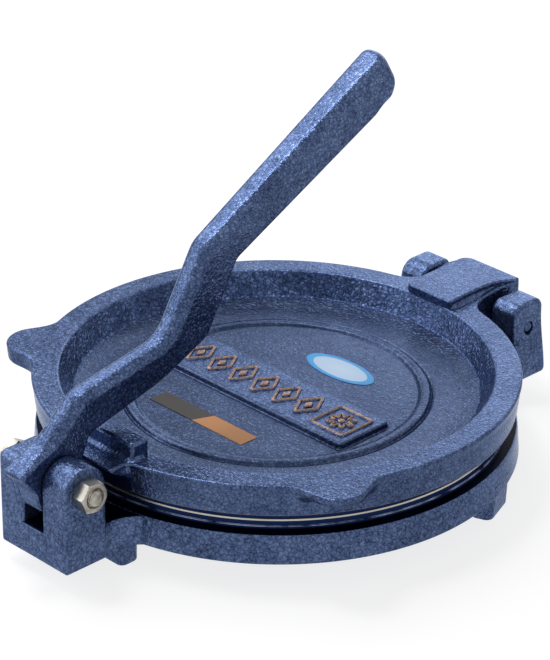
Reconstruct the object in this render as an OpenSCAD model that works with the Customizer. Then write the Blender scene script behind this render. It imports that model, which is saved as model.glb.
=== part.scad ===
// Tortilla press: two hinged cast-iron plates and a lever in a clevis.
// Millimetres, +Z up. The feet stand on z = 0, the hinge is at +Y and the
// lever's clevis is at -Y. The lid is shut and the lever stands over it.

/* [Plates] */
// Diameter of the lid's rim at its top
lid_d = 210; // [190:1:240]
// How far the pressing faces lie inside the lid's rim
press_inset = 5.5; // [4:0.5:8]
// Gap between the pressing faces of the shut press
press_gap = 0.1; // [0.1:0.1:1]
// Height of the feet under the base's skirt
foot_h = 10; // [6:0.5:20]

/* [Lid] */
// Height of the lid from its pressing face to its rim
lid_h = 18; // [14:0.5:26]
// Width of the rim's flat top
rim_w = 11.5; // [8:0.5:14]
// Slope of the rim's outer side, at its lower edge
rim_draft = 3.2; // [1:0.2:4]
// Slope of the dish's wall, at the floor
dish_draft = 6; // [2:0.5:8]
// Thickness of the lid's floor
lid_floor_t = 6; // [4:0.5:8]
// Height of the pressing disc under the rim's outer side
disc_h = 3.5; // [2:0.5:4]
// Middle radius of the bead on the lid's floor
bead_r = 63.7; // [60:0.5:75]
// Width of the bead
bead_w = 6; // [3:0.5:8]
// Height of the bead
bead_h = 0.8; // [0.4:0.1:1.5]

/* [Lid plinth] */
// Length of the raised plinth on the lid's floor
plinth_l = 112; // [80:1:114]
// Width of the plinth
plinth_w = 30; // [20:1:32]
// Height of the plinth
plinth_h = 2; // [1:0.2:4]
// How far the plinth's middle lies in front of the lid's axis
plinth_set = 3; // [0:1:10]
// Height of the ornament on the plinth
ornament_h = 1; // [0.4:0.1:1.5]
// Number of lozenges in the plinth's row
ornament_n = 6; // [3:1:7]

/* [Lid ears, nose and tongue] */
// Reach of an ear from the rim's outside to its tip
ear_reach = 13.5; // [8:0.5:20]
// Radius of an ear's round end
ear_r = 12.5; // [8:0.5:14]
// Radius of the fillets between an ear and the rim
ear_fillet = 9; // [4:0.5:12]
// Thickness of an ear at the rim
ear_t = 7.5; // [5:0.5:10]
// Thickness of an ear at its tip
ear_tip_t = 3.6; // [2:0.2:5]
// Angle from the lid's front to its right ear
ear_angle_right = 59; // [40:0.5:80]
// Angle from the lid's front to its left ear
ear_angle_left = 56; // [40:0.5:80]
// Width of the nose under the lever
nose_w = 42; // [30:1:60]
// Reach of the nose plate from the rim's outside
nose_reach = 7.5; // [4:0.5:8.5]
// Thickness of the nose plate
nose_t = 5; // [3:0.5:12]
// Height of the nose block above the rim
block_h = 7.5; // [3:0.5:9]
// Thickness of the nose block along the press
block_t = 9.5; // [6:0.5:11]
// Width of the hinge tongue
tongue_w = 37; // [24:1:40]
// Height of the tongue above the rim
tongue_rise = 3.5; // [1:0.5:6]
// Length of the tongue behind the hinge pin
tongue_back = 11; // [9:0.5:14]
// Radius of the tongue under the hinge pin
tongue_r = 8.5; // [7:0.5:10]

/* [Base] */
// Thickness of the base plate
plate_t = 5.5; // [4:0.5:10]
// Height of the skirt from its lower edge to its shoulder
skirt_h = 12; // [8:0.5:20]
// Thickness of the skirt
skirt_t = 5.5; // [4:0.5:8]
// How far the skirt's shoulder stands out from the pressing face
shoulder_w = 1.7; // [1:0.1:3]
// Slope of the skirt's outer side, at its lower edge
skirt_draft = 2.8; // [1:0.2:4]
// Height of the sloped ledge above the shoulder
ledge_h = 2.3; // [1:0.1:4]
// Height of the pressing face above the ledge
face_h = 4.1; // [3:0.1:8]

/* [Feet] */
// Width of the front foot
front_foot_w = 43; // [30:1:60]
// Thickness of the front foot
front_foot_t = 10.5; // [8:0.5:16]
// How far the front foot stands out from the skirt
front_foot_out = 5; // [2:0.5:8]
// Angle of a rear foot's middle behind the press's side
rear_foot_angle = 21; // [10:1:45]
// Angle that a rear foot takes up
rear_foot_span = 12; // [8:1:20]
// Thickness of a rear foot at its top
rear_foot_t = 12; // [8:0.5:16]

/* [Lever pivot] */
// Distance of the pivot from the rim's outside
pivot_reach = 21.5; // [21:0.5:30]
// Height of the pivot under the rim's top
pivot_drop = 4.6; // [2:0.2:8]
// Diameter of the pivot bolt
bolt_d = 8; // [6:1:10]
// Width across the flats of bolt head and nut
hex_af = 13; // [12:0.5:17]
// Thickness of the bolt's head
head_t = 5.3; // [4:0.1:7]
// Thickness of the nut
nut_t = 6; // [5:0.1:8]
// Turn of the nut from having one corner down
nut_turn = 23; // [0:1:60]
// Length of the bolt past the nut
bolt_tail = 1.4; // [0.5:0.1:5]
// Radius of the clevis ears' round tops
clevis_r = 10.9; // [9:0.1:12]
// Thickness of a clevis ear
clevis_ear_t = 14.5; // [8:0.5:18]
// Height of the clevis's underside above the table
clevis_foot = 8; // [4:0.5:9]
// Depth of the clevis's slot under the pivot
slot_depth = 20; // [15:0.5:22]
// Width of the bridge between clevis and skirt
bridge_w = 42; // [30:1:50]
// Clearance of the lever in the slot, on each side
slot_gap = 0.3; // [0.2:0.1:1]

/* [Hinge] */
// Distance of the hinge pin from the rim's outside
hinge_reach = 18; // [17:0.5:26]
// Height of the hinge pin under the rim's top
hinge_drop = 12; // [9:0.5:14]
// Diameter of the hinge pin
pin_d = 6; // [5:0.5:8]
// How deep the pin's ends lie in the lugs
pin_recess = 0.6; // [0.2:0.1:2]
// Clearance of the tongue between the lugs, on each side
hinge_gap = 2.5; // [1:0.5:5]
// Thickness of a lug at its top
lug_t = 12.7; // [8:0.5:16]
// Slope of the lug's outer side, at its foot
lug_draft = 3; // [1:0.5:4]
// Length of a lug along the press
lug_l = 19.4; // [14:0.2:21]
// Radius of the lug's upper corners
lug_round = 4.5; // [2:0.5:6]
// Clearance of bolt and pin in their holes
run_gap = 0.08; // [0.02:0.01:0.1]

/* [Lever] */
// Width of the lever's shank
lever_w = 11.5; // [8:0.5:14]
// Width of the grip at its tip
grip_w = 13; // [9:0.5:18]
// Radius of the lever's boss
boss_r = 11.3; // [9:0.1:13]
// Length of the spur in front of the pivot
spur_l = 21.3; // [14:0.1:24]
// Height of the spur's tip above the pivot
spur_h = 7.8; // [6:0.1:12]
// Height of the shank's heel above the pivot
heel_h = 32.8; // [28:0.1:40]
// Length of the shank from heel to bend
shank_l = 47.7; // [40:0.1:60]
// Slope of the shank
shank_angle = 10.1; // [5:0.1:20]
// Depth of the shank at the heel
heel_t = 18.8; // [15:0.1:24]
// Depth of the shank before the bend
shank_t = 15.8; // [12:0.1:20]
// Length of the steep neck
neck_l = 41.2; // [30:0.1:60]
// Slope of the neck
neck_angle = 59.3; // [45:0.1:75]
// Depth of the neck
neck_t = 21; // [16:0.1:26]
// Length of the grip
grip_l = 119.4; // [80:0.1:160]
// Slope of the grip
grip_angle = 29; // [15:0.5:45]
// Depth of the grip at its root
grip_root_t = 17.3; // [12:0.1:24]
// Depth of the grip at its tip
grip_tip_t = 20.7; // [12:0.1:28]

/* [Labels] */
// Length of the oval label
oval_l = 38; // [24:1:44]
// Width of the oval label
oval_w = 16.5; // [10:0.5:20]
// Distance of the oval label behind the plinth
oval_set = 13; // [10:1:20]
// Length of the strip label
strip_l = 56; // [30:1:60]
// Width of the strip label
strip_w = 9.5; // [6:0.5:12]
// Distance of the strip label in front of the plinth
strip_set = 22.5; // [10:0.5:26]
// Thickness of the labels
label_t = 0.2; // [0.1:0.1:0.5]

/* [Hidden] */
$fn = 96;
eps = 0.01;
// Small step that keeps faces from only touching along a line
skim = 0.06;
paint = [0.26, 0.34, 0.52];
plated = [0.80, 0.79, 0.75];

// Heights
z_skirt = foot_h;
z_shoulder = z_skirt + skirt_h;
z_ledge = z_shoulder + ledge_h;
z_face = z_ledge + face_h;
z_lid = z_face + press_gap;
z_wall = z_lid + disc_h;
z_floor = z_lid + lid_floor_t;
z_rim = z_lid + lid_h;
z_pivot = z_rim - pivot_drop;
z_hinge = z_rim - hinge_drop;
z_slot = z_pivot - slot_depth;

// Radii of the plates
rim_r = lid_d / 2;
dish_r = rim_r - rim_w;
dish_floor_r = dish_r - dish_draft;
face_r = rim_r - press_inset;
wall_r = rim_r - rim_draft;
shoulder_r = face_r + shoulder_w;
skirt_r = shoulder_r + skirt_draft;

// Places along the press, from the plates' axis
pivot_y = -(rim_r + pivot_reach);
hinge_y = rim_r + hinge_reach;
nose_y = -(rim_r + nose_reach);
tongue_end = hinge_y + tongue_back;
// The origin lies under the middle of the whole press
plate_y = -(pivot_y - spur_l + tongue_end) / 2;

// Widths across the press
slot_w = lever_w + 2 * slot_gap;
clevis_x = slot_w / 2 + clevis_ear_t;
lug_in = tongue_w / 2 + hinge_gap;
lug_out = lug_in + lug_t;
lug_foot_out = lug_out + lug_draft;

// Unit vectors along a slope, and square to it on its underside
function along(a) = [cos(a), sin(a)];
function under(a) = [sin(a), -cos(a)];

// Arc that rounds corner b between a and c with radius r. It has a point every
// 12 degrees or so, and is cut short where the sides are too short for it.
function arc(a, b, c, r) =
    let (u = (a - b) / norm(a - b), v = (c - b) / norm(c - b),
         half = acos(max(-1, min(1, u * v))) / 2,
         reach = min(r / tan(half), 0.48 * norm(a - b), 0.48 * norm(c - b)),
         rr = reach * tan(half), m = (u + v) / norm(u + v),
         o = b + m * rr / sin(half), p = b + u * reach - o, q = b + v * reach - o,
         turn = 180 - 2 * half, side = sign(p.x * q.y - p.y * q.x),
         n = max(1, ceil(turn / 12)))
    [for (i = [0:n]) let (t = side * turn * i / n)
        o + [p.x * cos(t) - p.y * sin(t), p.x * sin(t) + p.y * cos(t)]];

// Closed outline through corners [x, y, radius]
function rounded(c) = [for (i = [0:len(c) - 1])
    let (a = c[(i + len(c) - 1) % len(c)], b = c[i], d = c[(i + 1) % len(c)])
    each b.z > 0 ? arc([a.x, a.y], [b.x, b.y], [d.x, d.y], b.z) : [[b.x, b.y]]];

// Corner with a radius
function corner(p, r) = [p.x, p.y, r];

// Places everything that is drawn from the plates' axis
module at_plates() {
    translate([0, plate_y, 0]) children();
}

// Extrudes an outline given in (y, z) across the press, from x0 to x1
module across(x0, x1) {
    translate([x0, 0, 0]) rotate([90, 0, 90]) linear_extrude(x1 - x0) children();
}

// Round bar along x, with its axis at (y, z)
module bar_x(x0, x1, y, z, r) {
    translate([x0, y, z]) rotate([0, 90, 0]) cylinder(r = r, h = x1 - x0);
}

// Hexagon along x with its flats at the given width, turned about x
module hexagon_x(x0, x1, y, z, af, turn = 0) {
    translate([x0, y, z]) rotate([turn, 0, 0]) rotate([0, 90, 0])
        cylinder(d = af / cos(30), h = x1 - x0, $fn = 6);
}

// ---- Lid ----

// Section of the round lid
module lid_section() {
    polygon([[0, z_lid], [face_r, z_lid], [face_r, z_wall], [wall_r, z_wall], [rim_r, z_rim],
        [dish_r, z_rim], [dish_floor_r, z_floor], [0, z_floor]]);
}

// Round bead on the lid's floor
module bead() {
    rotate_extrude() polygon([[bead_r - bead_w / 2, z_floor - 1], [bead_r - bead_w / 2, z_floor],
        [bead_r - bead_w / 4, z_floor + bead_h], [bead_r + bead_w / 4, z_floor + bead_h],
        [bead_r + bead_w / 2, z_floor], [bead_r + bead_w / 2, z_floor - 1]]);
}

// Lozenge with given half lengths
module lozenge(a, b) {
    polygon([[a, 0], [0, b], [-a, 0], [0, -b]]);
}

// Raised plinth with a plain ornament: a row of lozenges and one in a frame
module plinth() {
    frame_w = plinth_w - 10;
    frame_x = plinth_l / 2 - frame_w / 2 - 4;
    row_l = plinth_l - frame_w - 12;
    pitch = row_l / ornament_n;
    translate([0, -plinth_set, 0]) {
        translate([-plinth_l / 2, -plinth_w / 2, z_floor - 1]) cube([plinth_l, plinth_w, plinth_h + 1]);
        translate([0, 0, z_floor + plinth_h - eps]) linear_extrude(ornament_h + eps) {
            for (i = [0:ornament_n - 1])
                translate([-plinth_l / 2 + 5 + pitch * (i + 0.5), 0]) difference() {
                    lozenge(pitch * 0.46, frame_w / 2);
                    lozenge(pitch * 0.46 - 2.5, frame_w / 2 - 4);
                }
            translate([frame_x, 0]) {
                difference() {
                    square(frame_w, center = true);
                    square(frame_w - 3, center = true);
                }
                lozenge(frame_w / 2 - 4, frame_w / 2 - 4);
            }
        }
    }
}

// Ear with concave fillets to the rim, along +X from the lid's axis. Its
// underside rises towards the tip.
module ear() {
    tip_x = rim_r + ear_reach;
    lobe_x = tip_x - ear_r;
    fillet_at = rim_r + ear_fillet + skim;
    span = ear_r + ear_fillet;
    a = acos((fillet_at * fillet_at + lobe_x * lobe_x - span * span) / (2 * fillet_at * lobe_x));
    root = rim_r - rim_w / 2;
    translate([0, 0, z_rim - ear_t]) difference() {
        intersection() {
            union() {
                translate([lobe_x, 0, 0]) cylinder(r = ear_r, h = ear_t);
                linear_extrude(ear_t) polygon([root * along(a), fillet_at * along(a), [lobe_x, 0],
                    fillet_at * along(-a), root * along(-a)]);
            }
            translate([root, -2 * ear_r, -1]) cube([tip_x, 4 * ear_r, ear_t + 2]);
        }
        for (s = [-1, 1]) rotate(s * a) translate([fillet_at, 0, -1])
            cylinder(r = ear_fillet, h = ear_t + 2);
        translate([0, 2 * ear_r, 0]) rotate([90, 0, 0]) linear_extrude(4 * ear_r)
            polygon([[wall_r, -1], [wall_r, 0], [tip_x, ear_t - ear_tip_t],
                [tip_x + 1, ear_t - ear_tip_t], [tip_x + 1, -1]]);
    }
}

// Nose plate and the block that the lever's shank presses on
module nose() {
    root_y = -dish_r - 5 * skim;
    across(-nose_w / 2, nose_w / 2) polygon(rounded([
        [nose_y, z_rim - nose_t, 0], [nose_y, z_rim, 1.5], [root_y - block_t, z_rim, 1],
        [root_y - block_t, z_rim + block_h, 2], [root_y, z_rim + block_h, 2],
        [root_y, z_rim - nose_t, 0]]));
}

// Slab and knuckle that the hinge pin runs through
module tongue() {
    across(-tongue_w / 2, tongue_w / 2) polygon(rounded([
        [dish_r - 1, z_rim - 3, 0], [dish_r - 1, z_rim + tongue_rise, 1.5],
        [tongue_end, z_rim + tongue_rise, 3], [tongue_end, z_hinge - tongue_r, tongue_r],
        [rim_r + 4, z_hinge - tongue_r, 3], [wall_r - 2, z_wall, 0]]));
}

module lid_casting() {
    color(paint) at_plates() difference() {
        union() {
            rotate_extrude() lid_section();
            bead();
            plinth();
            for (a = [ear_angle_right, -ear_angle_left]) rotate(a - 90) ear();
            nose();
            tongue();
        }
        bar_x(-tongue_w, tongue_w, hinge_y, z_hinge, pin_d / 2 + run_gap);
    }
}

// ---- Base ----

// Section of the round base: a plate on a skirt, open underneath
module base_section() {
    polygon([[0, z_face - plate_t], [0, z_face], [face_r, z_face], [face_r, z_ledge],
        [shoulder_r, z_shoulder], [skirt_r, z_skirt], [skirt_r - skirt_t, z_skirt],
        [face_r - skirt_t, z_face - plate_t]]);
}

// Bridge and clevis body, before the slot is cut
module clevis() {
    y0 = pivot_y - clevis_r;
    y1 = pivot_y + clevis_r;
    across(-clevis_x, clevis_x) polygon([[y0, clevis_foot], [y1, clevis_foot], [y1, z_pivot],
        [y0, z_pivot]]);
    bar_x(-clevis_x, clevis_x, pivot_y, z_pivot, clevis_r);
    across(-bridge_w / 2, bridge_w / 2) polygon([[y1 - 1, z_skirt], [-(face_r - 1), z_skirt],
        [-(face_r - 1), z_ledge], [y1 - 1, z_shoulder + 2]]);
}

// Hinge lug on the side that s gives
module lug(s) {
    y0 = hinge_y - lug_l / 2;
    y1 = hinge_y + lug_l / 2;
    intersection() {
        across(-lug_foot_out, lug_foot_out) polygon(rounded([
            [skirt_r - 10, z_skirt, 0], [skirt_r - 10, z_shoulder, 0], [y0, z_shoulder, 4],
            [y0, z_rim, lug_round], [y1, z_rim, lug_round], [y1, z_skirt + 1, 2],
            [y1 - 2, z_skirt, 0]]));
        translate([0, hinge_y + lug_l, 0]) rotate([90, 0, 0]) linear_extrude(3 * lug_l + skirt_r)
            polygon([[s * lug_in, 0], [s * lug_foot_out, 0], [s * lug_foot_out, z_skirt],
                [s * lug_out, z_rim + 1], [s * lug_in, z_rim + 1]]);
    }
}

// Rear foot, along +X from the base's axis
module rear_foot() {
    r1 = skirt_r - 1;
    r0 = r1 - rear_foot_t;
    rotate(-rear_foot_span / 2) rotate_extrude(angle = rear_foot_span)
        polygon([[r0, z_skirt + 4], [r0 + 1, 0], [r1 - 4, 0], [r1, z_skirt + 4]]);
}

module front_foot() {
    y0 = -(skirt_r + front_foot_out);
    across(-front_foot_w / 2, front_foot_w / 2) polygon(rounded([
        [y0, z_skirt + 4, 0], [y0 + 0.5, 0, 1.5], [y0 + front_foot_t - 0.5, 0, 1.5],
        [y0 + front_foot_t, z_skirt + 4, 0]]));
}

module base_casting() {
    color(paint) at_plates() difference() {
        union() {
            rotate_extrude() base_section();
            clevis();
            front_foot();
            for (a = [rear_foot_angle, 180 - rear_foot_angle]) rotate(a) rear_foot();
            for (s = [-1, 1]) lug(s);
        }
        // Slot for the lever
        translate([-slot_w / 2, pivot_y - 2 * clevis_r, z_slot])
            cube([slot_w, 3 * clevis_r + 2, z_rim + clevis_r]);
        bar_x(-clevis_x - 1, clevis_x + 1, pivot_y, z_pivot, bolt_d / 2 + run_gap);
        bar_x(-lug_foot_out - 1, lug_foot_out + 1, hinge_y, z_hinge, pin_d / 2 + run_gap);
    }
}

// ---- Lever ----

// Corners of the lever's side, from the pivot
heel = [13, heel_h];
bend = heel + shank_l * along(shank_angle);
shoulder = bend + neck_l * along(neck_angle);
tip = shoulder + grip_l * along(grip_angle);
grip_root = shoulder + 9.4 * along(grip_angle) + grip_root_t * under(grip_angle);
neck_root = bend + 6.5 * along(neck_angle) + neck_t * under(neck_angle);
shank_mid = bend - 7 * along(shank_angle) + shank_t * under(shank_angle);
shank_root = heel + heel_t * under(shank_angle);
tip_under = tip - 8.2 * along(grip_angle) + grip_tip_t * under(grip_angle);
tip_nose = tip - 1.5 * along(grip_angle) + 0.76 * grip_tip_t * under(grip_angle);

module lever_side() {
    polygon(rounded([
        [-spur_l, spur_h, 1.2], [-5.5, heel_h / 2, 12], corner(heel, 5), corner(bend, 14),
        corner(shoulder, 12), corner(tip, 4), corner(tip_nose, 8), corner(tip_under, 4),
        corner(grip_root, 8), corner(neck_root, 10), corner(shank_mid, 40),
        corner(shank_root, 3), [0.9 * boss_r, 0.4 * boss_r, 0], [0, 0, 0],
        [-0.99 * boss_r, -0.12 * boss_r, 0], [-1.27 * boss_r, 0.19 * boss_r, 6]]));
}

// Plan of the lever: straight to the bend, then wider towards the tip
module lever_plan() {
    w0 = lever_w / 2;
    w1 = grip_w / 2;
    y1 = tip.x + 20;
    polygon([[-w0, -3 * boss_r], [w0, -3 * boss_r], [w0, bend.x], [w1, tip.x], [w1, y1],
        [-w1, y1], [-w1, tip.x], [-w0, bend.x]]);
}

module lever() {
    w = max(lever_w, grip_w);
    color(paint) at_plates() translate([0, pivot_y, z_pivot]) difference() {
        union() {
            intersection() {
                across(-w / 2, w / 2) lever_side();
                translate([0, 0, -boss_r]) linear_extrude(tip.y + 2 * boss_r) lever_plan();
            }
            bar_x(-lever_w / 2, lever_w / 2, 0, 0, boss_r);
        }
        bar_x(-w, w, 0, 0, bolt_d / 2 + run_gap);
    }
}

// ---- Fasteners ----

module pivot_bolt() {
    x1 = clevis_x + nut_t + bolt_tail;
    color(plated) at_plates() {
        bar_x(-clevis_x - 1, x1, pivot_y, z_pivot, bolt_d / 2);
        hexagon_x(-clevis_x - head_t, -clevis_x, pivot_y, z_pivot, hex_af);
    }
}

module pivot_nut() {
    color(plated) at_plates() difference() {
        hexagon_x(clevis_x, clevis_x + nut_t, pivot_y, z_pivot, hex_af, nut_turn);
        bar_x(clevis_x - 1, clevis_x + nut_t + 1, pivot_y, z_pivot, bolt_d / 2 + run_gap);
    }
}

module hinge_pin() {
    half = lug_out - pin_recess;
    color(paint) at_plates() bar_x(-half, half, hinge_y, z_hinge, pin_d / 2);
}

// ---- Labels ----

module oval_label() {
    y = -plinth_set + plinth_w / 2 + oval_set + oval_w / 2;
    steps = 48;
    color("deepskyblue") at_plates() translate([5.5, y, z_floor]) linear_extrude(label_t)
        polygon([for (i = [0:steps - 1]) let (a = 360 * i / steps)
            [oval_l / 2 * cos(a), oval_w / 2 * sin(a)]]);
}

module strip_label() {
    y = -plinth_set - plinth_w / 2 - strip_set;
    color("peru") at_plates() translate([-3 - strip_l / 2, y - strip_w / 2, z_floor])
        cube([strip_l, strip_w, label_t]);
}

base_casting();
lid_casting();
lever();
pivot_bolt();
pivot_nut();
hinge_pin();
oval_label();
strip_label();
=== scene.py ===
# %% [markdown]
# # Tortilla press, dressed for looks
#
# The solids, bodies and joints come from the frame. Each painted casting is built again here as
# a closed surface with the soft edges and fillets of sand-cast iron, in the same place as its
# solid, and stands in for it. Lengths in the formulas are millimetres, measured from the axis
# of the round plates; `metres` moves them into the frame.

# %% Frame
import math
import bpy
import numpy as np
from mathutils import Matrix, Vector


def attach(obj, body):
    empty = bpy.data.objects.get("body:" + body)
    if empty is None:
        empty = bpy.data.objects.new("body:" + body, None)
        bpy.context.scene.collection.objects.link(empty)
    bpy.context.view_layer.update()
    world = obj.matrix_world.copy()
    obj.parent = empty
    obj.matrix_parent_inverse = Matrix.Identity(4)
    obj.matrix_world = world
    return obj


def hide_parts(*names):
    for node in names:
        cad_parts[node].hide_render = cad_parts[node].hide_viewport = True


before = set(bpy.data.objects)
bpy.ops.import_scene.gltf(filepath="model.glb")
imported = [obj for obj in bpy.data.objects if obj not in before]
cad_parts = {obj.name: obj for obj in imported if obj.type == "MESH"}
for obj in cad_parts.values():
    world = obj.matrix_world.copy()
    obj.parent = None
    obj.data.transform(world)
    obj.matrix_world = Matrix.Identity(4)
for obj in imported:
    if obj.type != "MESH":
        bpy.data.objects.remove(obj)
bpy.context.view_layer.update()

# %% [markdown]
# ## Named sizes
#
# Many repeat the values that the solids are built from. Others are set a little apart from them
# to look right, above all the lid's wall and the base's shoulder and skirt, which stand further
# out than in the solids.

# %% Sizes
PLATE_Y = 6.9                      # the plates' axis in the frame
RIM_R, DISH_R, FLOOR_R = 105.0, 93.5, 87.3
FACE_R, WALL_R, SHOULDER_R, SKIRT_R = 99.5, 103.3, 103.5, 104.9
Z_SKIRT, Z_SHOULDER, Z_LEDGE, Z_FACE = 10.0, 23.1, 24.3, 28.4
Z_LID, Z_WALL, Z_FLOOR, Z_RIM = 28.5, 32.0, 34.5, 46.5
Z_PIVOT, Z_HINGE, Z_SLOT = 41.9, 34.5, 21.9
PIVOT_Y, HINGE_Y = -126.5, 123.0
LEVER_W, GRIP_W, BOSS_R = 11.5, 13.6, 11.3
SLOT_W, CLEVIS_X, CLEVIS_R = 12.1, 20.55, 10.9
EAR_ANGLES, EAR_REACHES = (-31.0, -146.0), (118.2, 119.7)   # right and left ear, from +X
EAR_R, EAR_FILLET = 12.5, 9.5
PLINTH_Y, PLINTH_HALF = -3.0, (56.0, 15.0)
Z_UNDER = 22.9                     # underside of the base plate
REAR_FEET = (21.0, 159.0)          # angles from +X
SHANK_UP, NECK_UP, GRIP_UP = 10.1, 59.3, 29.0               # slopes of the lever's parts
NUT_AF, NUT_T, NUT_TURN = 12.2, 6.0, 53.0        # across flats, thickness, turn about x
HEAD_AF, HEAD_T, HEAD_TURN = 12.6, 4.6, 30.0
PIN_END = 35.4

# %% [markdown]
# ## Small tools
#
# Outlines are arrays of points. `rounded` puts arcs into the corners of a polyline, `evenly`
# spaces points along it, and `normals` gives the outward direction at each point.

# %% Outlines
def arc(a, b, c, r, step=9.0):
    """Arc of radius r in corner b between a and c.

    The arc's centre lies on the bisector at r / sin(half angle) from b; it starts
    r / tan(half angle) before b and ends as far after it.
    """
    u, v = (a - b) / np.linalg.norm(a - b), (c - b) / np.linalg.norm(c - b)
    half = math.acos(max(-1.0, min(1.0, float(u @ v)))) / 2
    if r <= 0 or half > 1.565:
        return b[None]
    reach = min(r / math.tan(half), 0.48 * np.linalg.norm(a - b), 0.48 * np.linalg.norm(c - b))
    r = reach * math.tan(half)
    o = b + (u + v) / np.linalg.norm(u + v) * r / math.sin(half)
    p, q = b + u * reach - o, b + v * reach - o
    turn = math.pi - 2 * half
    side = np.sign(p[0] * q[1] - p[1] * q[0])
    t = side * turn * np.linspace(0, 1, max(2, int(math.degrees(turn) / step) + 1))
    return o + np.stack([p[0] * np.cos(t) - p[1] * np.sin(t), p[0] * np.sin(t) + p[1] * np.cos(t)], 1)


def rounded(corners, closed=True, step=9.0):
    """Polyline through corners (x, y, radius) with an arc in each corner."""
    c = np.array(corners, float)
    n = len(c)
    parts = []
    for i in range(n):
        ends = not closed and i in (0, n - 1)
        parts.append(c[i:i + 1, :2] if ends else
                     arc(c[i - 1, :2], c[i, :2], c[(i + 1) % n, :2], c[i, 2], step))
    return np.concatenate(parts)


def evenly(points, n, closed=True):
    """n points at equal distances along a polyline."""
    p = np.vstack([points, points[:1]]) if closed else points
    s = np.concatenate([[0], np.cumsum(np.linalg.norm(np.diff(p, axis=0), axis=1))])
    t = np.linspace(0, s[-1], n + 1)[:-1] if closed else np.linspace(0, s[-1], n)
    return np.stack([np.interp(t, s, p[:, k]) for k in range(p.shape[1])], 1)


def normals(outline):
    """Outward unit normal of a closed outline: its tangent turned by -90 degrees, or by +90
    where the outline runs clockwise."""
    t = np.roll(outline, -1, 0) - np.roll(outline, 1, 0)
    x, y = outline.T
    ccw = np.sign(np.sum(x * np.roll(y, -1) - y * np.roll(x, -1)))
    n = np.stack([t[:, 1], -t[:, 0]], 1) * ccw
    return n / np.linalg.norm(n, axis=1, keepdims=True)


def smoothstep(a, b, x):
    """0 before a, 1 after b, and 3t^2 - 2t^3 between."""
    t = np.clip((x - a) / (b - a), 0, 1)
    return t * t * (3 - 2 * t)


def along(angle):
    """Unit vector (cos, sin) of an angle in degrees."""
    return np.array([math.cos(math.radians(angle)), math.sin(math.radians(angle))])


def under(angle):
    """Unit vector square to `along`, on its underside."""
    return np.array([math.sin(math.radians(angle)), -math.cos(math.radians(angle))])


def moved(point, slope, ahead, below=0.0):
    """A point moved ahead along a slope, and below it square to the slope."""
    return point + ahead * along(slope) + below * under(slope)


def ramp_angles(n):
    """n + 1 angles from 0 to 90 degrees."""
    return np.linspace(0, math.pi / 2, n + 1)


# %% [markdown]
# ## Surfaces
#
# A surface is a grid of points. `skin` turns it into quads, closes it with caps, and turns it
# outward by the sign of its volume. `build` joins surfaces into one object.

# %% Grids to meshes
def skin(grid, wrap_rows=False):
    """Closed surface from grid[row, column, xyz]; columns run round, rows run along.

    Gives the points, the quads, the polygons that close the ends where the rows don't wrap, and
    the material slots of both kinds, 0.
    """
    rows, cols = grid.shape[:2]
    index = np.arange(rows * cols).reshape(rows, cols)
    nxt = np.roll(index, -1, 1)
    low, high = (index, np.roll(index, -1, 0)) if wrap_rows else (index[:-1], index[1:])
    low2, high2 = (nxt, np.roll(nxt, -1, 0)) if wrap_rows else (nxt[:-1], nxt[1:])
    quads = np.stack([low, low2, high2, high], -1).reshape(-1, 4)
    verts = grid.reshape(-1, 3)
    polys = [] if wrap_rows else [index[0][::-1], index[-1]]
    a, b, c, d = (verts[quads[:, k]] for k in range(4))
    vol = np.sum(np.einsum("ij,ij->i", a, np.cross(b, c)) + np.einsum("ij,ij->i", a, np.cross(c, d)))
    for p in polys:
        q = verts[p]
        vol += np.sum(np.einsum("ij,ij->i", np.repeat(q[:1], len(q) - 2, 0), np.cross(q[1:-1], q[2:])))
    if vol < 0:
        quads, polys = quads[:, ::-1], [p[::-1] for p in polys]
    return verts, quads, polys, 0, 0


def metres(points):
    """Millimetres from the plates' axis to metres in the frame."""
    return (points + np.array([0, PLATE_Y, 0])) * 0.001


def with_slots(surface, rule, caps=0):
    """The surface with the material slots that a rule gives its quads' middles (x, y, z)."""
    verts, quads, polys = surface[:3]
    return verts, quads, polys, rule(*verts[quads].mean(1).T), caps


def added(name, data):
    """New object in the scene."""
    obj = bpy.data.objects.new(name, data)
    bpy.context.collection.objects.link(obj)
    return obj


def build(name, surfaces, body, materials, stands_for=(), sharp=48.0):
    """One object from closed surfaces: joins them, shades them and makes it ride on a body."""
    verts = np.concatenate([s[0] for s in surfaces])
    start = np.cumsum([0] + [len(s[0]) for s in surfaces])
    faces, slots = [], []
    for (_, quads, polys, slot, caps), at in zip(surfaces, start):
        faces += (quads + at).tolist() + [(p + at).tolist() for p in polys]
        slots += [np.full(len(quads), slot, np.int32), np.full(len(polys), caps, np.int32)]
    mesh = bpy.data.meshes.new(name)
    mesh.from_pydata(metres(verts), [], faces)
    for m in materials:
        mesh.materials.append(m)
    mesh.polygons.foreach_set("material_index", np.concatenate(slots))
    mesh.polygons.foreach_set("use_smooth", np.ones(len(faces), bool))
    mesh.update()
    mesh.set_sharp_from_angle(angle=math.radians(sharp))
    obj = added(name, mesh)
    obj.modifiers.new("weigh", "WEIGHTED_NORMAL").keep_sharp = True
    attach(obj, body)
    if stands_for:
        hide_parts(*stands_for)
    print(name, "vertices", len(verts), "faces", len(faces))


# %% [markdown]
# ## Surface kinds
#
# `lathe` turns a profile about the plates' axis. `prism` runs an outline in (y, z) across the
# press and rounds its long edges. `pad` raises an outline in (x, y) through a list of offsets
# and heights. `bar` is a round bar along x.

# %% Lathe, prism, pad and bar
def lathe(profile, columns):
    """P(u, v) = (r(v) cos u, r(v) sin u, z(v))."""
    u = np.linspace(0, 2 * math.pi, columns, endpoint=False)
    r, z = profile[:, 0][:, None], profile[:, 1][:, None]
    return skin(np.stack([r * np.cos(u), r * np.sin(u), z + 0 * u], -1))


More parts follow.
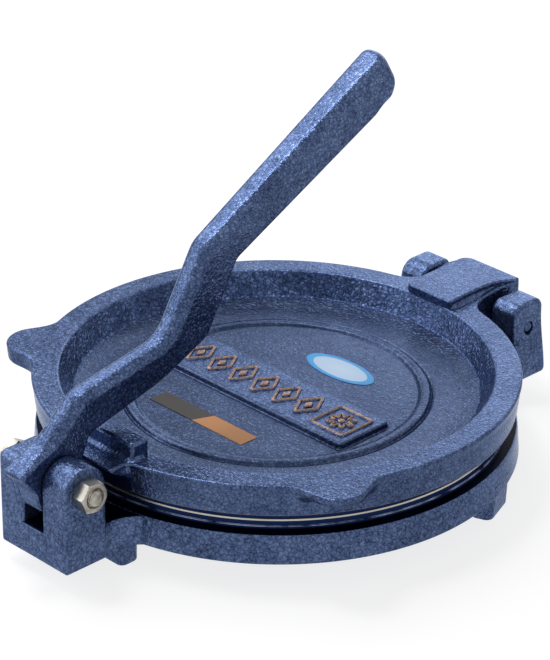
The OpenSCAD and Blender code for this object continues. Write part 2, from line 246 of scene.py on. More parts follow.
def prism(outline, x0, x1, edge, columns=0, turns=5, fill=2):
    """P(u, v): outline(u) drawn inward by edge(u) (1 - sin a) at the ends, where
    x = x0 + edge(u) (1 - cos a), and at its full size between. x0 and x1 are numbers or
    functions of (y, z)."""
    o = evenly(outline, columns) if columns else outline
    n = normals(o)
    e = edge(o) if callable(edge) else np.full(len(o), float(edge))
    a = ramp_angles(turns)
    inset = np.concatenate([1 - np.sin(a), np.zeros(fill), (1 - np.sin(a))[::-1]])
    step = np.concatenate([1 - np.cos(a), np.zeros(fill + turns + 1)])
    back = np.concatenate([np.zeros(fill + turns + 1), (1 - np.cos(a))[::-1]])
    mid = np.concatenate([np.zeros(turns + 1), np.linspace(0, 1, fill + 2)[1:-1], np.ones(turns + 1)])
    yz = o[None] - n[None] * (inset[:, None] * e[None])[..., None]
    lo = x0(yz[..., 0], yz[..., 1]) if callable(x0) else x0 + 0 * yz[..., 0]
    hi = x1(yz[..., 0], yz[..., 1]) if callable(x1) else x1 + 0 * yz[..., 0]
    left = lo + step[:, None] * e[None]
    right = hi - back[:, None] * e[None]
    w = mid[:, None]
    return skin(np.stack([left * (1 - w) + right * w, yz[..., 0], yz[..., 1]], -1))


def pad(outline, levels, flare=None):
    """P(u, v) = outline(u) + offset(v) flare(u) n(u) at height z(v). flare only acts on
    offsets outward."""
    n = normals(outline)
    lv = np.array(levels, float)
    f = np.ones(len(outline)) if flare is None else flare
    off = np.where(lv[:, :1] > 0, lv[:, :1] * f[None], lv[:, :1] + 0 * f[None])
    xy = outline[None] + off[..., None] * n[None]
    z = lv[:, 1][:, None] + 0 * off
    return skin(np.concatenate([xy, z[..., None]], -1))


def around(x, r, y, z, u):
    """Rings of points (x, y + r cos u, z + r sin u) about a line along x."""
    return np.stack([x + 0 * u, y + r * np.cos(u), z + r * np.sin(u)], -1)


def bar(profile, y, z, columns=48):
    """Round bar along x with its axis at (y, z): P(u, v) = (x(v), y + r(v) cos u, z + r(v) sin u)."""
    u = np.linspace(0, 2 * math.pi, columns, endpoint=False)
    x, r = np.array(profile, float).T[..., None]
    return skin(around(x, r, y, z, u))


def low_edge(r, z, off=0.0, side=-1):
    """Levels of a round edge of radius r that starts at height z: (off + side r (1 - sin a),
    z + r (1 - cos a)). It is a flare where side is 1."""
    return [(off + side * r * (1 - math.sin(a)), z + r * (1 - math.cos(a))) for a in ramp_angles(5)]


def high_edge(r, z, off=0.0):
    """Levels of a round edge of radius r that ends at height z: (off - r (1 - cos a),
    z - r (1 - sin a))."""
    return [(off - r * (1 - math.cos(a)), z - r * (1 - math.sin(a))) for a in ramp_angles(5)]


# %% [markdown]
# ## Shared effects
#
# The paint is a hammered enamel: cells about two millimetres wide that run into each other, darker
# in their seams, over a fine grain of the casting. One node group gives its masks and height.

# %% Node helpers
def emptied(owner):
    """Node tree of a material or world, with its nodes taken out."""
    owner.use_nodes = True
    owner.node_tree.nodes.clear()
    return owner.node_tree


def node(tree, kind, at, **sets):
    """Adds a node at a place; sets its properties, and its inputs by name."""
    made = tree.nodes.new(kind)
    made.location = at
    for key, value in sets.items():
        if hasattr(made, key):
            setattr(made, key, value)
        else:
            made.inputs[key].default_value = value
    return made


def math_node(tree, operation, at, a, b=None, clamp=False):
    """Math node; a and b are sockets or numbers."""
    made = node(tree, "ShaderNodeMath", at, operation=operation, use_clamp=clamp)
    for k, v in enumerate((a, b)):
        if v is None:
            continue
        if isinstance(v, (int, float)):
            made.inputs[k].default_value = v
        else:
            tree.links.new(v, made.inputs[k])
    return made.outputs[0]


def ramp(tree, at, value, stops):
    """Colour ramp through stops (position, colour)."""
    made = node(tree, "ShaderNodeValToRGB", at)
    e = made.color_ramp.elements
    while len(e) > 1:
        e.remove(e[-1])
    e[0].position, e[0].color = stops[0][0], (*stops[0][1], 1)
    for pos, col in stops[1:]:
        one = e.new(pos)
        one.color = (*col, 1)
    tree.links.new(value, made.inputs[0])
    return made.outputs[0]


def mapped(tree, at, value, lo, hi, to_lo=0.0, to_hi=1.0):
    """Smooth map of a value from lo..hi to to_lo..to_hi."""
    made = node(tree, "ShaderNodeMapRange", at, interpolation_type="SMOOTHSTEP")
    tree.links.new(value, made.inputs["Value"])
    for key, v in zip(("From Min", "From Max", "To Min", "To Max"), (lo, hi, to_lo, to_hi)):
        made.inputs[key].default_value = v
    return made.outputs[0]


def coordinates(tree, at):
    """Object coordinates, whole and split into X, Y and Z."""
    co = node(tree, "ShaderNodeTexCoord", at).outputs["Object"]
    xyz = node(tree, "ShaderNodeSeparateXYZ", (at[0] + 200, at[1]))
    tree.links.new(co, xyz.inputs[0])
    return co, xyz.outputs


def noise(tree, at, place, **sets):
    """Outputs of a noise at the given coordinates."""
    made = node(tree, "ShaderNodeTexNoise", at, **sets)
    tree.links.new(place, made.inputs["Vector"])
    return made.outputs


def radius(tree, at, x, y):
    """sqrt(x^2 + y^2)."""
    xx = math_node(tree, "MULTIPLY", at, x, x)
    yy = math_node(tree, "MULTIPLY", (at[0], at[1] - 200), y, y)
    return math_node(tree, "SQRT", (at[0] + 300, at[1]), math_node(tree, "ADD", (at[0] + 150, at[1]), xx, yy))


def mixed(tree, at, share, base, colour):
    """Colour that goes from a socket's to the given one by a share."""
    made = node(tree, "ShaderNodeMix", at, data_type="RGBA")
    tree.links.new(share, made.inputs[0])
    tree.links.new(base, made.inputs[6])
    made.inputs[7].default_value = (*colour, 1)
    return made.outputs[2]


def feed(tree, shader, inputs):
    """Sets a shader's inputs by name, from sockets or plain values."""
    for key, v in inputs.items():
        if isinstance(v, bpy.types.NodeSocket):
            tree.links.new(v, shader.inputs[key])
        else:
            shader.inputs[key].default_value = v


def tilt(tree, shader, height, strength, distance):
    """Tilts a shader's normal by the slope of a height, a distance high in metres."""
    bump = node(tree, "ShaderNodeBump", (300, -350), Strength=strength, Distance=distance)
    tree.links.new(height, bump.inputs["Height"])
    tree.links.new(bump.outputs[0], shader.inputs["Normal"])


# %% Hammered enamel group
OUTPUTS = ("Cell", "Seam", "Grain", "Drift", "Height")


def hammered_group():
    """Masks of a hammered enamel, from object coordinates in metres.

    Cell: how high a point lies in its cell. Seam: the lines between cells. Grain: fine speckle.
    Drift: slow change of shade. Height: the surface's relief.
    """
    g = bpy.data.node_groups.new("hammered_enamel", "ShaderNodeTree")
    face = g.interface
    size = face.new_socket("Cell size mm", in_out="INPUT", socket_type="NodeSocketFloat")
    size.default_value = 2.4
    for name in OUTPUTS:
        face.new_socket(name, in_out="OUTPUT", socket_type="NodeSocketFloat")
    gi, go = node(g, "NodeGroupInput", (-1400, 0)), node(g, "NodeGroupOutput", (700, 0))
    co = node(g, "ShaderNodeTexCoord", (-1400, 300))
    mm = node(g, "ShaderNodeVectorMath", (-1200, 300), operation="SCALE", Scale=1000.0)
    g.links.new(co.outputs["Object"], mm.inputs[0])
    pull = noise(g, (-1000, 500), mm.outputs[0], Scale=0.32, Detail=2.0)
    off = node(g, "ShaderNodeVectorMath", (-800, 500), operation="MULTIPLY_ADD")
    off.inputs[1].default_value = (4.0, 4.0, 4.0)
    g.links.new(pull["Color"], off.inputs[0])
    g.links.new(mm.outputs[0], off.inputs[2])
    inv = math_node(g, "DIVIDE", (-800, 100), 1.0, gi.outputs[0])
    cell = node(g, "ShaderNodeTexVoronoi", (-550, 400), feature="SMOOTH_F1", Smoothness=0.35,
                Randomness=1.0)
    seam = node(g, "ShaderNodeTexVoronoi", (-550, 700), feature="DISTANCE_TO_EDGE", Randomness=1.0)
    for tex in (cell, seam):
        g.links.new(off.outputs[0], tex.inputs["Vector"])
        g.links.new(inv, tex.inputs["Scale"])
    raised = mapped(g, (-300, 400), cell.outputs["Distance"], 0.1, 0.6, 1.0, 0.0)
    line = mapped(g, (-300, 700), seam.outputs["Distance"], 0.0, 0.13, 1.0, 0.0)
    grain = noise(g, (-550, 50), mm.outputs[0], Scale=1.3, Detail=3.0, Roughness=0.6)
    fine = mapped(g, (-300, 50), grain["Fac"], 0.32, 0.68)
    slow = noise(g, (-550, -250), mm.outputs[0], Scale=0.055, Detail=2.0)
    mix = math_node(g, "ADD", (-350, -400), slow["Fac"], pull["Fac"])
    drift = mapped(g, (-300, -250), mix, 0.75, 1.25)
    a = math_node(g, "MULTIPLY", (0, 300), raised, 0.75)
    b = math_node(g, "MULTIPLY", (0, 150), fine, 0.25)
    height = math_node(g, "ADD", (200, 250), a, b)
    for name, out in zip(OUTPUTS, (raised, line, fine, drift, height)):
        g.links.new(out, go.inputs[name])
    return g


HAMMERED = hammered_group()
print("groups:", [g.name for g in bpy.data.node_groups])

# %% [markdown]
# ## Materials
#
# Each material keeps its own shader; only masks and heights come from the group.

# %% Paint
def start_material(name):
    """New node material with a Principled shader; gives the tree and the shader."""
    m = bpy.data.materials.new(name)
    t = emptied(m)
    out = node(t, "ShaderNodeOutputMaterial", (900, 0))
    shader = node(t, "ShaderNodeBsdfPrincipled", (600, 0))
    t.links.new(shader.outputs[0], out.inputs["Surface"])
    return m, t, shader


def paint_material(name, deep, mid, light, cell=1.7, worn_above=None, relief=0.00012):
    """Hammered blue enamel on cast iron. Where worn_above gives a height in metres, the paint
    above it is rubbed through to a coppery ground."""
    m, t, shader = start_material(name)
    g = node(t, "ShaderNodeGroup", (-900, 0))
    g.node_tree = HAMMERED
    g.inputs[0].default_value = cell
    parts = [math_node(t, "MULTIPLY", (-650, 350 - 150 * k), g.outputs[key], share)
             for k, (key, share) in enumerate((("Cell", 0.12), ("Seam", -0.34), ("Grain", 0.24),
                                               ("Drift", 0.20)))]
    shade = math_node(t, "ADD", (-250, 200), math_node(t, "ADD", (-450, 300), parts[0], parts[1]),
                      math_node(t, "ADD", (-450, 50), parts[2], parts[3]))
    shade = math_node(t, "ADD", (-150, 200), shade, 0.36)
    colour = ramp(t, (-50, 200), shade, ((0.1, deep), (0.62, mid), (0.9, light)))
    if worn_above is not None:
        _, xyz = coordinates(t, (-900, -400))
        top = mapped(t, (-450, -400), xyz["Z"], worn_above - 0.00025, worn_above + 0.0001)
        rub = math_node(t, "MULTIPLY", (-200, -400), top,
                        mapped(t, (-450, -600), g.outputs["Grain"], 0.1, 0.6, 0.25, 1.0), clamp=True)
        colour = mixed(t, (200, 100), rub, colour, (0.33, 0.20, 0.12))
    feed(t, shader, {"Base Color": colour, "Metallic": 0.62,
                     "Roughness": mapped(t, (200, -150), g.outputs["Cell"], 0.0, 1.0, 0.18, 0.10),
                     "Specular IOR Level": 0.3, "Specular Tint": (0.50, 0.60, 0.82, 1)})
    tilt(t, shader, g.outputs["Height"], 1.0, relief)
    return m


def smooth_paint_and_shade_material():
    """Thin dark enamel on turned iron: dark blue with faint streaks. It is also laid on recesses and on the
    gap under the lid as painted shade. Low down it darkens to nearly black as painted shade, and one fine
    pale line on it is a painted highlight."""
    m, t, shader = start_material("smooth_dark_blue_and_painted_shade")
    co, xyz = coordinates(t, (-900, 0))
    cloud = noise(t, (-700, 200), co, Scale=90.0, Detail=3.0)["Fac"]
    colour = ramp(t, (-400, 200), cloud, ((0.3, (0.007, 0.018, 0.070)), (0.7, (0.012, 0.030, 0.105))))
    # Painted shade: the colour is dimmed to 0.22 of itself below 24.2 mm and comes back to full at 25 mm.
    dim = node(t, "ShaderNodeVectorMath", (-50, 150), operation="SCALE")
    t.links.new(colour, dim.inputs[0])
    t.links.new(mapped(t, (-400, -200), xyz["Z"], 0.0242, 0.0250, 0.22, 1.0), dim.inputs["Scale"])
    # Painted highlight: a pale line between 25.05 and 25.6 mm high, broken up by the streaks.
    up = mapped(t, (-400, -400), xyz["Z"], 0.02505, 0.02515)
    down = mapped(t, (-400, -600), xyz["Z"], 0.0255, 0.0256, 1.0, 0.0)
    edge = math_node(t, "MULTIPLY", (-50, -500), math_node(t, "MULTIPLY", (-200, -500), up, down),
                     mapped(t, (-200, -700), cloud, 0.35, 0.6))
    feed(t, shader, {"Base Color": mixed(t, (200, 100), edge, dim.outputs[0], (0.42, 0.48, 0.72)),
                     "Roughness": mapped(t, (0, -100), cloud, 0.3, 0.7, 0.28, 0.4), "Metallic": 0.6,
                     "Specular Tint": (0.06, 0.09, 0.22, 1), "Specular IOR Level": 0.1})
    return m


DEEP, MID, LIGHT = (0.012, 0.021, 0.058), (0.072, 0.111, 0.233), (0.144, 0.197, 0.352)
PAINT = paint_material("hammered_blue", DEEP, MID, LIGHT)
# Painted light: a lighter copy of the paint, so that the base's skirt, clevis and lugs look more brightly
# lit.
LIGHTENED_BASE_PAINT = paint_material("hammered_blue_base_painted_light", DEEP, (0.086, 0.132, 0.272), (0.168, 0.228, 0.400),
                            cell=2.0)
# Painted shade: a darker, more contrasting copy of the paint for the dish's wall.
SHADED_DISH_PAINT = paint_material("hammered_blue_dish_painted_shade", (0.006, 0.011, 0.036), (0.044, 0.074, 0.175),
                      (0.150, 0.220, 0.430), cell=2.3, relief=0.0003)
# Painted light: a lighter copy of the paint, so that the lever's tops look more brightly lit.
LIGHTENED_LEVER_PAINT = paint_material("hammered_blue_lever_painted_light", DEEP, (0.078, 0.121, 0.252), (0.190, 0.255, 0.440))
# Painted shade: a darker copy of the paint for the dish's floor.
SHADED_FLOOR_PAINT = paint_material("hammered_blue_floor_painted_shade", DEEP, (0.042, 0.064, 0.132), (0.090, 0.124, 0.220),
                       cell=1.9, relief=0.0001)
WORN = paint_material("hammered_blue_worn", DEEP, MID, LIGHT, cell=1.5, worn_above=0.0371)
# Smooth dark enamel, also used as painted shade in recesses and in the gap under the lid.
SMOOTH_PAINT_AND_SHADE = smooth_paint_and_shade_material()


# %% Metals
def machined_material():
    """Turned cast iron: fine rings about the plates' axis and a faint stain."""
    m, t, shader = start_material("machined_iron")
    co, xyz = coordinates(t, (-1200, 0))
    dy = math_node(t, "SUBTRACT", (-800, -100), xyz["Y"], PLATE_Y * 0.001)
    r = radius(t, (-600, 100), xyz["X"], dy)
    rings = math_node(t, "SINE", (-50, 0), math_node(t, "MULTIPLY", (-200, 0), r, 9000.0))
    stain = noise(t, (-800, 300), co, Scale=60.0, Detail=4.0)["Fac"]
    feed(t, shader, {"Base Color": ramp(t, (-300, 300), stain, ((0.3, (0.40, 0.38, 0.34)),
                                                                (0.7, (0.55, 0.52, 0.46)))),
                     "Metallic": 1.0, "Roughness": mapped(t, (0, -200), stain, 0.3, 0.7, 0.26, 0.38)})
    tilt(t, shader, rings, 0.3, 0.00004)
    return m


def plated_material():
    """Plated steel with fine scratches and a warm tint in places."""
    m, t, shader = start_material("plated_steel")
    co = node(t, "ShaderNodeTexCoord", (-900, 0)).outputs["Object"]
    cloud = noise(t, (-700, 200), co, Scale=260.0, Detail=4.0, Roughness=0.6)["Fac"]
    colour = ramp(t, (-300, 200), cloud,
                  ((0.3, (0.24, 0.21, 0.17)), (0.5, (0.38, 0.36, 0.32)), (0.7, (0.47, 0.45, 0.42))))
    feed(t, shader, {"Base Color": colour, "Metallic": 1.0,
                     "Roughness": mapped(t, (0, -100), cloud, 0.3, 0.7, 0.44, 0.30)})
    tilt(t, shader, noise(t, (-700, -300), co, Scale=1400.0, Detail=2.0)["Fac"], 0.25, 0.00005)
    return m


MACHINED, PLATED = machined_material(), plated_material()


# %% Labels
def label_place(t, centre, half):
    """Object coordinates of a label, and its (x, y) from the centre in units of its half sizes."""
    co, xyz = coordinates(t, (-1300, 0))
    out = []
    for k, axis in enumerate("XY"):
        c = (centre[k] + PLATE_Y * k) * 0.001
        d = math_node(t, "SUBTRACT", (-940, -150 * k), xyz[axis], c)
        out.append(math_node(t, "DIVIDE", (-780, -150 * k), d, half[k] * 0.001))
    return co, *out


def print_finish(t, shader, co, colour, rough, shine, wave):
    """Sheen of a printed sticker that lies a little wavy."""
    feed(t, shader, {"Base Color": colour, "Roughness": rough, "Specular IOR Level": shine})
    tilt(t, shader, noise(t, (-200, -300), co, Scale=wave, Detail=2.0)["Fac"], 0.3, 0.0001)


def oval_material():
    """Printed oval label: a pale-blue field in a blue border."""
    m, t, shader = start_material("oval_label_print")
    co, x, y = label_place(t, (5.5, 33.25), (19.0, 8.25))
    colour = ramp(t, (-200, 0), radius(t, (-700, 50), x, y), (
        (0.0, (0.53, 0.68, 0.87)), (0.72, (0.46, 0.64, 0.86)), (0.79, (0.42, 0.62, 0.86)),
        (0.81, (0.02, 0.26, 0.66)), (0.84, (0.03, 0.36, 0.80)), (1.0, (0.02, 0.31, 0.76))))
    print_finish(t, shader, co, colour, 0.42, 0.3, 220.0)
    return m


def strip_material():
    """Printed strip label: a dark part and a tan part that meet at a slant."""
    m, t, shader = start_material("strip_label_print")
    co, x, y = label_place(t, (-3.0, -40.25), (28.0, 4.75))
    slant = math_node(t, "SUBTRACT", (-500, 0), x, math_node(t, "MULTIPLY", (-650, -150), y, 0.07))
    colour = ramp(t, (-300, 0), slant, ((0.0, (0.018, 0.015, 0.014)), (0.01, (0.50, 0.22, 0.075))))
    print_finish(t, shader, co, colour, 0.45, 0.2, 200.0)
    return m


def dress(node_name, material):
    """Gives a kept solid a better material."""
    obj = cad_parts[node_name]
    if not obj.material_slots:
        obj.data.materials.append(material)
    for s in obj.material_slots:
        s.material = material


dress("oval_label", oval_material())
dress("strip_label", strip_material())

# %% [markdown]
# ## Lid
#
# The lid's outline seen from above is the zero line of a field: the rim's circle, two ears, the
# nose and the root of the tongue, joined with concave fillets. One ring surface runs round it,
# from the floor over the dish's wall, the rim and its outer side to the pressing face.

# %% Lid outline
def joined(a, b, r):
    """Union of two distance fields with a concave fillet of radius r:
    max(r, min(a, b)) - |(max(r - a, 0), max(r - b, 0))|."""
    return np.maximum(r, np.minimum(a, b)) - np.hypot(np.maximum(r - a, 0), np.maximum(r - b, 0))


def box_field(x, y, half_x, y0, y1, r=0.0):
    """Distance to a box |x| < half_x, y0 < y < y1 with corners of radius r."""
    qx, qy = np.abs(x) - half_x + r, np.abs(y - (y0 + y1) / 2) - (y1 - y0) / 2 + r
    return np.hypot(np.maximum(qx, 0), np.maximum(qy, 0)) + np.minimum(np.maximum(qx, qy), 0) - r


def lid_field(x, y):
    """Distance-like field of the lid's outline, negative inside."""
    d = np.hypot(x, y) - RIM_R
    for angle, reach in zip(EAR_ANGLES, EAR_REACHES):
        c = (reach - EAR_R) * along(angle)
        d = joined(d, np.hypot(x - c[0], y - c[1]) - EAR_R, EAR_FILLET)
    d = joined(d, box_field(x, y, 19.9, -112.5, -80.0, 1.2), 1.0)
    return joined(d, box_field(x, y, 17.0, 60.0, 114.0, 1.0), 10.0)


def ray_outline(field, r0, r1, n, fine=14400, y0=0.0):
    """Zero line of a field, found by halving along rays from (0, y0), as n even points."""
    t = np.linspace(-math.pi, math.pi, fine, endpoint=False)
    lo, hi = np.full(fine, r0), np.full(fine, r1)
    for _ in range(36):
        mid = (lo + hi) / 2
        inside = field(mid * np.cos(t), y0 + mid * np.sin(t)) < 0
        lo, hi = np.where(inside, mid, lo), np.where(inside, hi, mid)
    return evenly(np.stack([lo * np.cos(t), y0 + lo * np.sin(t)], 1), n)


lid_line = ray_outline(lid_field, 80.0, 135.0, 840)
print("lid outline:", lid_line.min(0), lid_line.max(0))


# %% Lid ring
def circle_row(line, r, z):
    """Points of radius r at the polar angles of an outline, at height z."""
    a = np.arctan2(line[:, 1], line[:, 0])
    return np.stack([r * np.cos(a), r * np.sin(a), z + 0 * a], 1)


def lift(xy, z):
    """Outline points at height z (a number or one value per point)."""
    return np.concatenate([xy, np.broadcast_to(z, len(xy))[:, None]], 1)


def bent(a, b, c, reach, n=4):
    """Rows of a quadratic curve that rounds corner b of a-b-c, for whole rows of points."""
    def toward(p):
        d = p - b
        l = np.linalg.norm(d, axis=1, keepdims=True)
        return b + d / l * np.minimum(reach, 0.45 * l)
    p, q = toward(a), toward(c)
    t = np.linspace(0, 1, n + 1)[:, None, None]
    return list((1 - t) ** 2 * p + 2 * t * (1 - t) * b + t * t * q)


def between(a, b, n):
    """n rows strictly between two rows."""
    t = np.linspace(0, 1, n + 2)[1:-1, None, None]
    return list((1 - t) * a + t * b)


def lid_ring():
    """Ring surface of the lid: circular inside, following the outline outside."""
    line, n = lid_line, normals(lid_line)
    inner = rounded([(66.7, 30.5, 0), (66.93, 33.95, 0.1), (67.9, Z_FLOOR, 0.9), (78.0, 34.8, 30),
                     (FLOOR_R, 36.4, 1.4), (DISH_R, Z_RIM, 1.7), (96.6, Z_RIM, 0)], closed=False, step=11)
    rows = [circle_row(line, r, z) for r, z in inner]
    edge = 1.25
    top = lift(line - edge * n, Z_RIM)
    rows += between(rows[-1], top, 2)
    rows += [lift(line - edge * (1 - math.sin(a)) * n, Z_RIM - edge * (1 - math.cos(a)))
             for a in ramp_angles(5)]
    nose = smoothstep(-100, -105, line[:, 1]) * (np.abs(line[:, 0]) < 23)
    turned = np.degrees(np.arctan2(line[:, 1], line[:, 0])) - EAR_ANGLES[1]
    lip = 42.9 + 1.5 * nose - 4.2 * smoothstep(16, 9, np.abs(turned))
    a, b = rows[-1], lift(line - 0.6 * n, lip)
    c = circle_row(line, 104.2, 39.0)
    d = circle_row(line, WALL_R, Z_WALL)
    rows += between(a, b, 2) + bent(a, b, c, 1.2)
    turn = bent(b, c, d, 1.6)
    rows += between(rows[-1], turn[0], 2) + turn + between(turn[-1], d, 3)
    low = rounded([(WALL_R + 0.2, Z_WALL + 1, 0), (WALL_R, Z_WALL, 0.5), (FACE_R, Z_WALL, 0.2),
                   (FACE_R, Z_LID, 0.35), (80, Z_LID, 0), (66.6, Z_LID, 0)], closed=False, step=30)
    rows += [circle_row(line, r, z) for r, z in low]
    return np.stack(rows)


ring = lid_ring()
print("ring rows:", ring.shape)


# %% Lid floor, plinth and ornament
def rectangle(cx, cy, hx, hy, r, n=0):
    """Rectangle outline about (cx, cy) with rounded corners."""
    o = rounded([(cx - hx, cy - hy, r), (cx + hx, cy - hy, r), (cx + hx, cy + hy, r),
                 (cx - hx, cy + hy, r)], step=12)
    return evenly(o, n) if n else o


def balanced(outline, n):
    """n points of a closed outline about the axis, evenly spaced in the mean of two measures:
    its arc length and its polar angle, each divided by its total."""
    p = evenly(outline, 6000)
    s = np.linspace(0, 1, 6001)
    a = np.unwrap(np.arctan2(*np.vstack([p, p[:1]]).T[::-1]))
    m = (s + (a - a[0]) / (a[-1] - a[0])) / 2
    at = np.interp(np.linspace(0, 1, n + 1)[:-1], m, s) * 6000
    q = np.vstack([p, p[:1]])
    return np.stack([np.interp(at, np.arange(6001), q[:, k]) for k in range(2)], 1)


def lid_floor():
    """Floor of the lid: the plinth's top, its soft edge, a groove at its foot, the flat floor, the
    bead between two grooves, and the pressing face below."""
    foot = balanced(rectangle(0, PLINTH_Y, *PLINTH_HALF, 2.4), 600)
    n = normals(foot)
    z = Z_FLOOR
    steps = [(-1.9, 2.0), (-1.3, 2.0), (-0.9, 1.97), (-0.6, 1.86), (-0.38, 1.62), (-0.22, 1.2),
             (0.0, 0.3), (0.12, -0.1), (0.3, -0.4), (0.6, -0.48), (0.9, -0.3), (1.2, -0.08),
             (1.5, 0.0), (2.0, 0.02)]

    def held(xy):
        """Points kept inside the bead's groove: r becomes min(r, 59.6)."""
        r = np.hypot(*xy.T)[:, None]
        return xy * np.minimum(r, 59.6) / r
    rows = [lift(held(foot + off * n), z + h) for off, h in steps]
    bead = [(60.4, 0.0), (60.7, -0.2), (61.0, -0.38), (61.25, -0.25), (61.45, 0.15), (61.75, 0.58),
            (62.15, 0.88), (62.8, 1.06), (63.7, 1.12), (64.6, 1.09), (65.4, 1.0), (65.8, 0.7),
            (66.1, 0.2), (66.35, -0.3), (66.7, -0.5), (66.95, -2.0)]
    rows += between(rows[-1], circle_row(foot, 59.7, z), 5)
    rows += [circle_row(foot, r, z + h) for r, h in bead]
    rows += [circle_row(foot, r, Z_LID) for r in (66.95, 40.0, 0.3)]
    # The floor takes the darker floor paint as painted shade; below 29.2 mm the pressing face is turned iron.
    return with_slots(skin(np.stack(rows)), lambda x, y, z: np.where(z < 29.2, 1, 4))


def stroke(path, width, z0, z1):
    """Raised line along a closed path: a cross-section with a rounded top, sunk at z0."""
    n = normals(path)
    w = width / 2
    a = np.linspace(0, math.pi, 7)
    s = np.concatenate([[w + 0.35, w - 0.15], (w - 0.35) * np.cos(a), [0.15 - w, -0.35 - w]])
    h = np.concatenate([[z0, z1 - 0.35], z1 - 0.3 + 0.3 * np.sin(a), [z1 - 0.35, z0]])
    xy = path[None] + s[:, None, None] * n[None]
    z = np.broadcast_to(h[:, None, None], (len(s), len(path), 1))
    return skin(np.concatenate([xy, z], -1), wrap_rows=True)


def lozenge(cx, cy, a, b, r, n):
    """Rounded lozenge outline."""
    return evenly(rounded([(cx + a, cy, r), (cx, cy + b, r), (cx - a, cy, r), (cx, cy - b, r)]), n)


def ornament():
    """A row of six double lozenges and a framed rosette, raised on the plinth."""
    z0, z1 = Z_FLOOR + 1.7, Z_FLOOR + 3.0
    out = []
    pitch = 80.0 / 6
    for k in range(6):
        cx = -PLINTH_HALF[0] + 5 + pitch * (k + 0.5)
        out += [stroke(lozenge(cx, PLINTH_Y, 5.2, 8.6, 0.8, 72), 1.7, z0, z1),
                pad(lozenge(cx, PLINTH_Y, 1.9, 3.0, 0.5, 40),
                    [(0.3, z0), (0.0, z1 - 0.3), (-0.15, z1 - 0.08), (-0.5, z1)])]
    middle = np.array([42.0, PLINTH_Y])
    t = np.linspace(0, 2 * math.pi, 120, endpoint=False)
    ray = np.stack([np.cos(t), np.sin(t)], 1)
    petals = middle + (4.6 + 1.5 * np.cos(8 * t))[:, None] * ray
    out += [stroke(rectangle(*middle, 9.2, 9.2, 1.2, 120), 1.6, z0, z1), stroke(petals, 1.3, z0, z1),
            pad(middle + 1.6 * ray[::4], [(0.3, z0), (0.0, z1 - 0.4), (-0.3, z1 - 0.1), (-0.8, z1)])]
    return out


# %% Nose block and tongue
def nose_block():
    """Block on the nose; its foot flares into the rim except over the dish."""
    o = rectangle(0, -96.7, 20.5, 4.9, 2.2, 220)
    flare = 2.2
    levels = [(0.0, Z_RIM - 3.6), (flare + 0.4, Z_RIM - 0.8), *low_edge(flare, Z_RIM, side=1),
              (0.0, Z_RIM + 5.0), *high_edge(1.7, Z_RIM + 7.5)]
    return pad(o, levels, flare=1 - smoothstep(-96.5, -94.4, o[:, 1]))


def knuckle_half(y, z):
    """Reach of the knuckle to the right: 17.1, widening to 19.5 at its rear end."""
    return 17.1 + 2.4 * smoothstep(120, 132, y) + 0 * z


def knuckle_left(y, z):
    """Reach of the knuckle to the left: 17.1, drawn in at the top of its rear end."""
    return -17.1 + 3.4 * smoothstep(124, 134, y) * smoothstep(38, 48, z)


def knuckle():
    """Part of the lid that the hinge pin runs through."""
    o = rounded([(98.0, 42.0, 0), (98.0, 46.4, 0), (111.0, 46.4, 4), (124.0, 48.0, 8), (134.0, 49.4, 1.2),
                 (134.0, 26.0, 8.5), (109.0, 26.0, 3.0), (99.8, 32.0, 0)], step=7)
    return prism(o, knuckle_left, knuckle_half, 0.9, columns=260, turns=4, fill=5)


def tongue_slab():
    """Slab on the knuckle: 28 wide, spreading to the knuckle's width at its rear end. Its
    inner end stands over the dish's edge; its sides run out in small fillets."""
    y0, y1 = 92.7, 133.9
    right = rounded([(0, y0, 0), (14.6, y0, 0.9), (13.9, 112, 20), (14.6, 123, 16), (19.3, 131.5, 3),
                     (19.3, y1, 0.5), (0, y1, 0)], closed=False, step=9)
    left = rounded([(0, y1, 0), (-13.6, y1, 6.5), (-12.9, 122, 20), (-12.7, y0, 4.0), (0, y0, 0)],
                   closed=False, step=9)
    o = evenly(np.concatenate([right[:-1], left[:-1]]), 300)
    sides = smoothstep(y0 + 0.6, y0 + 3, o[:, 1]) * (1 - smoothstep(y1 - 8, y1 - 3, o[:, 1]))
    levels = [(2.3, Z_RIM - 0.5), *low_edge(2.0, Z_RIM, side=1), *high_edge(0.9, Z_RIM + 3.7)]
    return pad(o, levels, flare=sides)


def lid_slots(x, y, z):
    """Slot at a quad's middle: 3 the dish's wall and 4 its floor, both in darker paint as painted shade; 1
    turned iron, which on the outer wall's lower edge is a painted highlight; 2 the smooth dark paint, as
    painted shade on the side of the pressing disc and the underside of the nose; 0 hammered elsewhere."""
    r = np.hypot(x, y)
    wall = (r < DISH_R - 0.2) & (r > FLOOR_R - 1.0) & (z > Z_FLOOR + 0.1)
    floor = (r < FLOOR_R - 0.9) & (z > 33)
    # Painted highlight: the outer wall's rounded lower edge is given turned iron, which shows as a pale line.
    edge = (r > WALL_R - 0.6) & (z > Z_WALL - 0.1) & (z < Z_WALL + 0.35)
    face = (z < 28.75) & (r < 99.3)
    nose = (np.abs(x) < 20) & (y < -90) & (z < 41.6)
    side = (z < 32.1) & (r > 95)
    return np.select([wall, floor, face | edge, side | nose], [3, 4, 1, 2], 0)


# %% Lid piece
lid_surfaces = [with_slots(skin(ring, wrap_rows=True), lid_slots), lid_floor(), nose_block(),
                knuckle(), tongue_slab()]
build("lid_shell", lid_surfaces, "lid", [PAINT, MACHINED, SMOOTH_PAINT_AND_SHADE, SHADED_DISH_PAINT, SHADED_FLOOR_PAINT], ["lid_casting"])
build("lid_ornament", ornament(), "lid", [WORN])

# %% [markdown]
# ## Base
#
# A turned plate on a skirt, with the clevis in front on a bridge that runs into the skirt, two
# lugs behind, and three feet.

